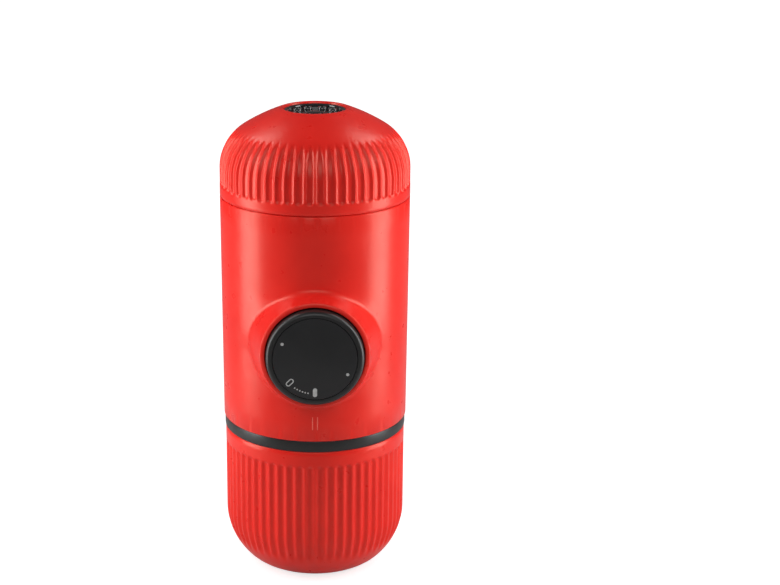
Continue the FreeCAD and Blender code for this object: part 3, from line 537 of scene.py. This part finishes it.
def cup_skin():
    """The cup with its full ribs and rounded lip."""
    centre = (CUP_RADIUS - HEEL_RADIUS, HEEL_HEIGHT)
    lip = 0.3 * MM
    bore = CUP_RADIUS - SHELL_WALL
    inner_radius = HEEL_RADIUS - SHELL_WALL
    sweep = math.radians(HEEL_SWEEP)
    inner_end = (centre[0] + inner_radius * math.cos(sweep), centre[1] - inner_radius * math.sin(sweep))
    lip_edge = (CUP_RADIUS, RIM_BOTTOM - lip)
    ribs_from = (CUP_RADIUS, RIM_BOTTOM - 3.4 * MM)
    ribs_full = (CUP_RADIUS, RIM_BOTTOM - 7.4 * MM)
    heel = arc_points(centre, HEEL_RADIUS, 0, -HEEL_SWEEP, 16)
    toe = tangent_points(heel[-1], -HEEL_SWEEP, (BASE_RADIUS, 0.0), 7)
    inner = arc_points(centre, inner_radius, -HEEL_SWEEP, 0, 6)

    outline = [(bore, RIM_BOTTOM - lip), (bore + lip, RIM_BOTTOM)]
    outline += [(CUP_RADIUS - lip, RIM_BOTTOM), lip_edge]
    outline += line_points(lip_edge, ribs_from, 2)
    outline += line_points(ribs_from, ribs_full, 12)
    outline += line_points(ribs_full, (CUP_RADIUS, HEEL_HEIGHT), 5)
    outline += heel
    outline += toe
    outline += [(0.0, 0.0), (0.0, SHELL_WALL), (BASE_RADIUS, SHELL_WALL), inner_end]
    outline += inner
    piece = lathe("cup_skin", outline, RIB_COUNT * STEPS_PER_RIB)
    plain_band_bottom = RIM_BOTTOM - 2.0 * MM

    def on_outside(r, z):
        return z < plain_band_bottom and outside_of_dome(r, z, centre, HEEL_RADIUS, -1)

    carve_ribs(piece, on_outside, CUP_VALLEY_ENDS, CUP_VALLEY_FADES, CUP_RIB_HALF, CUP_RIB_DEPTH)
    smooth(piece, 50)
    finish_piece(piece, "cup", RED, ["cup"])


# Middle shell


def merged_copy(node, name):
    """A copy of a CAD node with its loose triangles joined."""
    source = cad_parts[node]
    piece = bpy.data.objects.new(name, source.data.copy())
    piece.data.name = name
    bpy.context.scene.collection.objects.link(piece)
    edit(piece)
    bpy.ops.mesh.remove_doubles(threshold=CAD_MERGE_DISTANCE)
    leave()
    return piece


def round_rim(piece, height, inward, edge):
    """Rounds the outer edge at one end of the middle shell: a ring is cut in, and the end drawn in."""
    outer_face_from = 29.5 * MM
    drawn_in = edge * 0.8
    edit(piece)
    bpy.ops.mesh.bisect(plane_co=(0, 0, height - inward * edge), plane_no=(0, 0, 1))
    leave()
    for vertex in piece.data.vertices:
        r = math.hypot(vertex.co.x, vertex.co.y)
        if abs(vertex.co.z - height) < 0.01 * MM and r > outer_face_from:
            vertex.co.x *= (r - drawn_in) / r
            vertex.co.y *= (r - drawn_in) / r
    piece.data.update()


def round_boss_lip(piece):
    """Rolls the front lip of the boss: rings are cut in behind it, and its edges are drawn to a round."""
    inner_roll = 0.3 * MM
    edit(piece)
    for share in (0.1, 0.25, 0.5, 0.75, 1.0):
        bpy.ops.mesh.select_all(action="SELECT")
        bpy.ops.mesh.bisect(plane_co=(0, BOSS_FRONT + BOSS_LIP * share, 0), plane_no=(0, 1, 0))
    leave()
    ring = [v for v in piece.data.vertices if abs(v.co.y - BOSS_FRONT - BOSS_LIP) < 0.01 * MM]
    full = max(math.hypot(v.co.x, v.co.z - PUMP_HEIGHT) for v in ring)
    for vertex in piece.data.vertices:
        behind = (vertex.co.y - BOSS_FRONT) / BOSS_LIP
        if behind > 0.999:
            continue
        r = math.hypot(vertex.co.x, vertex.co.z - PUMP_HEIGHT)
        drawn = 1 - math.sqrt(1 - (1 - behind) ** 2)
        if r > BOSS_BORE + 0.5 * MM:
            new_r = full - BOSS_LIP * drawn
        else:
            new_r = BOSS_BORE + inner_roll * drawn
        vertex.co.x *= new_r / r
        vertex.co.z = PUMP_HEIGHT + (vertex.co.z - PUMP_HEIGHT) * new_r / r
    piece.data.update()


def housing_skin():
    """The red middle shell with softened end edges, so that the seams show, and a rolled boss lip."""
    piece = merged_copy("body_housing", "housing_skin")
    edge = 0.25 * MM
    round_rim(piece, SEAM, 1, edge)
    round_rim(piece, RIM_TOP, -1, edge)
    round_boss_lip(piece)
    smooth(piece, 28)
    finish_piece(piece, "body", RED, ["body_housing"])


def align_marks():
    """Two short upright marks on the housing below the knob."""
    middle = 59.0 * MM
    from_centre = 0.8 * MM
    width, thickness, height = 0.32 * MM, 0.3 * MM, 4.4 * MM
    centre_y = -30.44 * MM
    for index, side in enumerate((-1, 1)):
        deselect()
        bpy.ops.mesh.primitive_cube_add(size=1.0, location=(0, 0, 0))
        mark = added(f"align_mark_{index + 1}")
        mark.data.transform(Matrix.Diagonal((width, thickness, height, 1.0)))
        mark.data.transform(Matrix.Translation((side * from_centre, centre_y, middle)))
        soften(mark, 0.1 * MM, 3)
        smooth(mark)
        finish_piece(mark, "body", MARK)


# Knob

PRINT_THICKNESS = 0.05 * MM
KNOB_STEPS = 128


def knob_skin():
    """The knob: rolled front border, skirt and hub, without its lugs."""
    wall = 1.8 * MM
    edge = 0.3 * MM
    hub_radius = 6.2 * MM
    rod_bore = 3.05 * MM
    screw_well = 5.3 * MM
    recess = FACE_RADIUS + 0.05 * MM
    roll = 1.5 * MM
    roll_centre = (KNOB_RADIUS - roll, KNOB_FRONT + roll)
    floor = KNOB_FRONT + 1.8 * MM
    screw_seat = KNOB_FRONT + 3.45 * MM
    head_rear = KNOB_FRONT + 6.0 * MM
    hub_rear = head_rear + 6.0 * MM
    outline = [(rod_bore, screw_seat), (screw_well, screw_seat), (screw_well, floor)]
    outline += [(recess, floor), (recess, KNOB_FRONT + 0.2 * MM)]
    outline += [(recess + 0.12 * MM, KNOB_FRONT + 0.03 * MM), (KNOB_RADIUS - roll, KNOB_FRONT)]
    outline += arc_points(roll_centre, roll, -90, 0, 8)
    outline += [(KNOB_RADIUS, KNOB_REAR - edge), (KNOB_RADIUS - edge, KNOB_REAR)]
    outline += [(KNOB_RADIUS - wall, KNOB_REAR), (KNOB_RADIUS - wall, head_rear), (hub_radius, head_rear)]
    outline += [(hub_radius, hub_rear), (rod_bore, hub_rear)]
    piece = onto_pump_axis(lathe("knob_skin", outline, KNOB_STEPS))
    smooth(piece, 40)
    finish_piece(piece, "knob", BLACK, ["knob"])


def knob_lugs():
    """The three bayonet lugs at the rear of the knob's skirt."""
    width = math.radians(20.0)
    root = KNOB_RADIUS - 0.6 * MM
    tip = KNOB_RADIUS + 0.9 * MM
    front = KNOB_REAR - 2.4 * MM
    outline = [(root, front), (tip, front), (tip, KNOB_REAR), (root, KNOB_REAR)]
    # the partial spin turns backwards from X, so this brings the lug's middle upright
    upright = width / 2 - math.radians(90)
    for index in range(3):
        deselect()
        bpy.ops.mesh.primitive_circle_add(vertices=4, radius=1.0, location=(0, 0, 0), fill_type="NGON")
        lug = added(f"knob_lug_{index + 1}")
        for vertex, (r, height) in zip(lug.data.vertices, outline):
            vertex.co = Vector((r, 0, height))
        edit(lug)
        bpy.ops.mesh.spin(steps=10, angle=width, center=(0, 0, 0), axis=(0, 0, 1))
        bpy.ops.mesh.select_all(action="SELECT")
        bpy.ops.mesh.remove_doubles(threshold=MERGE_DISTANCE)
        bpy.ops.mesh.normals_make_consistent(inside=False)
        leave()
        lug.data.transform(Matrix.Rotation(upright + index * math.tau / 3, 4, "Z"))
        onto_pump_axis(lug)
        soften(lug, 0.15 * MM, 2)
        smooth(lug)
        finish_piece(lug, "knob", BLACK)


def face_plate():
    """The knob's front plate: almost flat, with a softened border."""
    rear = KNOB_FRONT + 1.8 * MM
    front = KNOB_FRONT + PRINT_THICKNESS
    outline = [(0.0, front), (FACE_RADIUS - 0.35 * MM, front), (FACE_RADIUS - 0.1 * MM, front + 0.06 * MM)]
    outline += [(FACE_RADIUS, front + 0.3 * MM), (FACE_RADIUS, rear), (0.0, rear)]
    piece = onto_pump_axis(lathe("knob_face_plate", outline, KNOB_STEPS))
    smooth(piece, 40)
    finish_piece(piece, "knob", DIAL, ["knob_face"])


def clock_place(radius, clock_deg):
    """A place on the knob's face, by its angle clockwise from the top."""
    angle = math.radians(clock_deg)
    return (radius * math.sin(angle), PUMP_HEIGHT + radius * math.cos(angle))


def printed(name, length, width, radius, clock_deg, hollow=False):
    """A printed capsule or dot on the knob's face, its long side pointing at the centre."""
    deselect()
    bpy.ops.mesh.primitive_circle_add(vertices=32, radius=width / 2, location=(0, 0, 0), fill_type="NGON")
    mark = added(name)
    reach = (length - width) / 2
    for vertex in mark.data.vertices:
        vertex.co.y += reach if vertex.co.y > 0 else -reach
    edit(mark)
    if hollow:
        bpy.ops.mesh.inset(thickness=width * 0.2, depth=0.0)
        bpy.ops.mesh.delete(type="FACE")
        bpy.ops.mesh.select_all(action="SELECT")
    bpy.ops.mesh.extrude_region_move(TRANSFORM_OT_translate={"value": (0, 0, PRINT_THICKNESS)})
    bpy.ops.mesh.select_all(action="SELECT")
    bpy.ops.mesh.normals_make_consistent(inside=False)
    leave()
    x, z = clock_place(radius, clock_deg)
    place = Matrix.Translation((x, KNOB_FRONT + PRINT_THICKNESS, z))
    lean = Matrix.Rotation(math.radians(clock_deg), 4, "Y")
    stand_up = Matrix.Rotation(math.radians(90), 4, "X")
    mark.data.transform(place @ lean @ stand_up)
    smooth(mark)
    finish_piece(mark, "knob", PRINT)


def face_marks():
    """The lock's marks: closed capsule, open capsule, a row of dots between them and two single dots."""
    capsule_circle = 11.0 * MM
    dot_circle = 11.4 * MM
    capsule_length = 2.9 * MM
    first_step, step_apart = 191, 4.6
    printed("mark_closed", capsule_length, 1.35 * MM, capsule_circle, 180)
    printed("mark_open", capsule_length, 1.6 * MM, capsule_circle, 226, True)
    for index in range(6):
        place = first_step + index * step_apart
        printed(f"mark_step_{index + 1}", 0.5 * MM, 0.45 * MM, dot_circle, place)
    printed("mark_dot_left", 1.0 * MM, 0.98 * MM, dot_circle, 296)
    printed("mark_dot_right", 1.0 * MM, 0.98 * MM, dot_circle, 116)


# Top insert


def foot_dish(radius, floor, top, dish):
    """The insert's dish, with a low boss in its middle."""
    boss_top = dish + 0.3 * MM
    outline = [(0.0, floor), (radius, floor), (radius, top - 0.25 * MM), (radius - 0.25 * MM, top)]
    outline += [(radius - 1.1 * MM, top), (radius - 1.45 * MM, top - 0.25 * MM), (radius - 1.6 * MM, dish)]
    outline += [(2.6 * MM, dish), (2.3 * MM, dish + 0.2 * MM), (2.0 * MM, boss_top), (0.0, boss_top)]
    piece = lathe("foot_skin", outline, 96)
    smooth(piece, 40)
    finish_piece(piece, "tank", GLOSS, ["support_foot"])


def foot_lobe(name, place, dish):
    """One round lobe of the insert, hollow in its top."""
    foot = dish - 0.1 * MM
    outline = [(0.0, foot), (1.55 * MM, foot), (1.5 * MM, dish + 0.45 * MM)]
    outline += [(1.3 * MM, dish + 0.7 * MM), (0.9 * MM, dish + 0.72 * MM), (0.6 * MM, dish + 0.3 * MM)]
    outline += [(0.0, dish + 0.2 * MM)]
    lobe = lathe(name, outline, 28)
    lobe.data.transform(Matrix.Translation(place))
    smooth(lobe, 50)
    finish_piece(lobe, "tank", GLOSS)


def foot_skin():
    """The glossy insert in the top recess: a dish with a ring of round lobes."""
    radius = RECESS_RADIUS - 0.05 * MM
    floor = TANK_TOP - RECESS_DEPTH
    top = floor + 2.2 * MM
    dish = top - 1.0 * MM
    lobe_count = 8
    lobe_circle = 6.2 * MM
    foot_dish(radius, floor, top, dish)
    for index in range(lobe_count):
        angle = (index + 0.5) * math.tau / lobe_count
        place = (lobe_circle * math.cos(angle), lobe_circle * math.sin(angle), 0)
        foot_lobe(f"foot_lobe_{index + 1}", place, dish)


# Outlet head and what it holds


def head_skin():
    """The outlet head with its rolled rim, spigot and collar."""
    nozzle_bore = 3.0 * MM
    spigot = CUP_RADIUS - SHELL_WALL - 0.05 * MM
    chamfer = 0.8 * MM
    cavity = BASKET_RADIUS + 0.2 * MM
    cavity_top = cavity + 1.0 * MM
    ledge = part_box("filter_basket")[1][2] - 1.5 * MM
    floor = HEAD_BOTTOM + 1.5 * MM
    fillet = 0.6 * MM
    edge = 0.3 * MM
    roll = 0.5 * MM
    rows = 30
    outline = [(nozzle_bore, HEAD_BOTTOM), (spigot - chamfer, HEAD_BOTTOM), (spigot, HEAD_BOTTOM + chamfer)]
    outline += [(spigot, RIM_BOTTOM), (RIM_RADIUS - roll, RIM_BOTTOM)]
    outline += arc_points((RIM_RADIUS - roll, RIM_BOTTOM + roll), roll, -90, 0, 4)
    outline += [(RIM_RADIUS, RIM_TOP - roll)]
    outline += arc_points((RIM_RADIUS - roll, RIM_TOP - roll), roll, 0, 90, 4)
    outline += [(NECK_RADIUS, RIM_TOP)]
    outline += line_points((NECK_RADIUS, RIM_TOP), (NECK_RADIUS, COLLAR_TOP - edge), rows)
    outline += [(NECK_RADIUS - THREAD_DEPTH - edge, COLLAR_TOP)]
    outline += [(cavity_top, COLLAR_TOP), (cavity_top, ledge), (cavity, ledge)]
    outline += [(cavity, floor + fillet), (cavity - fillet, floor), (nozzle_bore, floor)]
    piece = lathe("head_skin", outline, THREAD_STEPS)
    carve_thread(piece, RIM_TOP + 1.2 * MM, COLLAR_TOP, HEAD_LEAD, HEAD_THREAD_START)
    smooth(piece, 40)
    finish_piece(piece, "head", BLACK, ["outlet_head"])


def nozzle_skin():
    """The outlet funnel under the head, with a rolled tip."""
    low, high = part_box("nozzle")[0][2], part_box("nozzle")[1][2]
    bore = 1.8 * MM
    stem = 3.6 * MM
    flange_radius = 9.0 * MM
    edge = 0.2 * MM
    flange = high - 1.2 * MM
    cone = flange - 11.0 * MM
    outline = [(bore, low), (stem - 0.3 * MM, low), (stem, low + 0.3 * MM), (stem, cone)]
    outline += line_points((stem, cone), (7.5 * MM, flange), 4)
    outline += [(flange_radius - edge, flange), (flange_radius, flange + edge), (flange_radius, high)]
    outline += [(6.0 * MM, high), (bore, cone)]
    piece = lathe("nozzle_skin", outline, 72)
    smooth(piece, 40)
    finish_piece(piece, "head", GREY, ["nozzle"])


def dress_nodes():
    """The finish of each CAD node, also of those that a piece stands for."""
    finishes = {
        RED: ("tank_shell", "cup", "body_housing"),
        BLACK: ("knob", "outlet_head", "brew_chamber", "tank_well", "knob_guide"),
        GLOSS: ("support_foot", "knob_face"),
        GREY: ("nozzle", "pump_cylinder", "cylinder_cap", "piston", "scoop"),
        STEEL: ("filter_basket", "shower_screen", "inlet_strainer", "chassis_screws"),
        STEEL_TURNED: ("plunger_rod", "return_spring", "knob_screw"),
        RUBBER: ("head_gasket", "tank_gasket", "brew_gasket", "piston_seal", "inlet_valve", "outlet_valve"),
    }
    for material, names in finishes.items():
        for name in names:
            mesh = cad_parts[name].data
            mesh.materials.clear()
            mesh.materials.append(material)


# Stage, light and camera

WORLD_LIGHT = 0.10
FLOOR_LIFT = 0.72
FLOOR_WHITE_FROM = 0.45
FLOOR_SIZE = 8.0
FLOOR_GREY = 0.55
WALL_POWER = 0.55
WALL_SIZE = (0.10, 0.30)
WALL_FROM_AXIS = 0.217
WALL_IN_FRONT = 0.038
WALL_HEIGHT = 0.155
OVERHEAD_POWER = 1.2
OVERHEAD_SIZE = (0.30, 0.30)
OVERHEAD_FROM_AXIS = 0.42
OVERHEAD_BEHIND = 0.30
OVERHEAD_HEIGHT = 0.70
FRONT_POWER = 3.2
FRONT_SIZE = (0.9, 0.5)
FRONT_PLACE = (0, -0.9, 0.75)
OBJECT_MIDDLE = (0, 0, 0.08)


def area_light(name, place, aim, size, power):
    """A soft rectangular lamp that looks at a point."""
    lamp = bpy.data.lights.new(name, "AREA")
    lamp.shape = "RECTANGLE"
    lamp.size, lamp.size_y = size
    lamp.energy = power
    holder = bpy.data.objects.new(name, lamp)
    holder.location = place
    holder.rotation_euler = (Vector(aim) - Vector(place)).to_track_quat("-Z", "Y").to_euler()
    bpy.context.scene.collection.objects.link(holder)


def make_floor():
    """A white floor that keeps the object's shadow and turns plain white further away.

    It goes with the cup, because the maker is lifted off a cup that stands on the floor.
    """
    deselect()
    bpy.ops.mesh.primitive_plane_add(size=FLOOR_SIZE, location=(0, 0, 0))
    floor = added("floor")
    material, nodes, links, shader, coords = new_material("white_floor")
    shader.inputs["Base Color"].default_value = (FLOOR_GREY, FLOOR_GREY, FLOOR_GREY, 1)
    shader.inputs["Roughness"].default_value = 0.9
    shader.inputs["Specular IOR Level"].default_value = 0.1
    distance = nodes.new("ShaderNodeVectorMath")
    distance.operation = "LENGTH"
    links.new(coords.outputs["Object"], distance.inputs[0])
    lift = nodes.new("ShaderNodeMapRange")
    lift.inputs["From Min"].default_value = 0.0
    lift.inputs["From Max"].default_value = FLOOR_WHITE_FROM
    lift.inputs["To Min"].default_value = FLOOR_LIFT
    lift.inputs["To Max"].default_value = 1.0
    links.new(distance.outputs["Value"], lift.inputs["Value"])
    path = nodes.new("ShaderNodeLightPath")
    seen = nodes.new("ShaderNodeMath")
    seen.operation = "MULTIPLY"
    links.new(lift.outputs["Result"], seen.inputs[0])
    links.new(path.outputs["Is Camera Ray"], seen.inputs[1])
    glow = nodes.new("ShaderNodeEmission")
    links.new(seen.outputs["Value"], glow.inputs["Strength"])
    both = nodes.new("ShaderNodeAddShader")
    links.new(shader.outputs["BSDF"], both.inputs[0])
    links.new(glow.outputs["Emission"], both.inputs[1])
    links.new(both.outputs["Shader"], nodes["Material Output"].inputs["Surface"])
    floor.data.materials.append(material)
    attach(floor, "cup")


def make_world():
    """A pale world: white to the camera, dimmer as light."""
    world = bpy.data.worlds.new("pale_world")
    bpy.context.scene.world = world
    world.use_nodes = True
    nodes, links = world.node_tree.nodes, world.node_tree.links
    path = nodes.new("ShaderNodeLightPath")
    white = nodes.new("ShaderNodeBackground")
    white.inputs["Color"].default_value = (1, 1, 1, 1)
    white.inputs["Strength"].default_value = 1.0
    dim = nodes["Background"]
    dim.inputs["Color"].default_value = (1, 1, 1, 1)
    dim.inputs["Strength"].default_value = WORLD_LIGHT
    mix = nodes.new("ShaderNodeMixShader")
    links.new(path.outputs["Is Camera Ray"], mix.inputs["Fac"])
    links.new(dim.outputs["Background"], mix.inputs[1])
    links.new(white.outputs["Background"], mix.inputs[2])
    links.new(mix.outputs["Shader"], nodes["World Output"].inputs["Surface"])


def make_camera():
    """The photograph's view, fitted to the round rims and the two domes."""
    image_width = 780.0
    axis_column = 315.0
    focal_pixels = 1881.9
    looks_down = 16.86
    camera = bpy.data.cameras.new("camera")
    camera.sensor_width = 36.0
    camera.lens = focal_pixels / image_width * camera.sensor_width
    camera.shift_x = (image_width / 2 - axis_column) / image_width
    holder = bpy.data.objects.new("camera", camera)
    holder.location = (0, -596.34 * MM, 274.51 * MM)
    holder.rotation_euler = (math.radians(90 - looks_down), 0, 0)
    bpy.context.scene.collection.objects.link(holder)
    bpy.context.scene.camera = holder


def make_lamps():
    """A lamp beside each flank, one high behind each, and a wide one in front."""
    for side, name in ((-1, "left"), (1, "right")):
        wall = (side * WALL_FROM_AXIS, -WALL_IN_FRONT, WALL_HEIGHT)
        area_light(f"{name}_wall", wall, (0, 0, WALL_HEIGHT), WALL_SIZE, WALL_POWER)
        overhead = (side * OVERHEAD_FROM_AXIS, OVERHEAD_BEHIND, OVERHEAD_HEIGHT)
        area_light(f"{name}_overhead", overhead, OBJECT_MIDDLE, OVERHEAD_SIZE, OVERHEAD_POWER)
    area_light("front_fill", FRONT_PLACE, OBJECT_MIDDLE, FRONT_SIZE, FRONT_POWER)


def make_stage():
    make_floor()
    make_world()
    make_camera()
    make_lamps()
    bpy.context.scene.view_settings.view_transform = "Standard"


def make_object():
    dress_nodes()
    tank_skin()
    tank_neck()
    cup_skin()
    housing_skin()
    align_marks()
    knob_skin()
    knob_lugs()
    face_plate()
    face_marks()
    foot_skin()
    head_skin()
    nozzle_skin()
    socket_thread("well_thread", SEAM - 13.6 * MM, SEAM - 3.8 * MM, TANK_LEAD, TANK_THREAD_START)
    socket_thread("chamber_thread", RIM_TOP + 2.6 * MM, RIM_TOP + 7.6 * MM, HEAD_LEAD, HEAD_THREAD_START)


make_object()
make_stage()
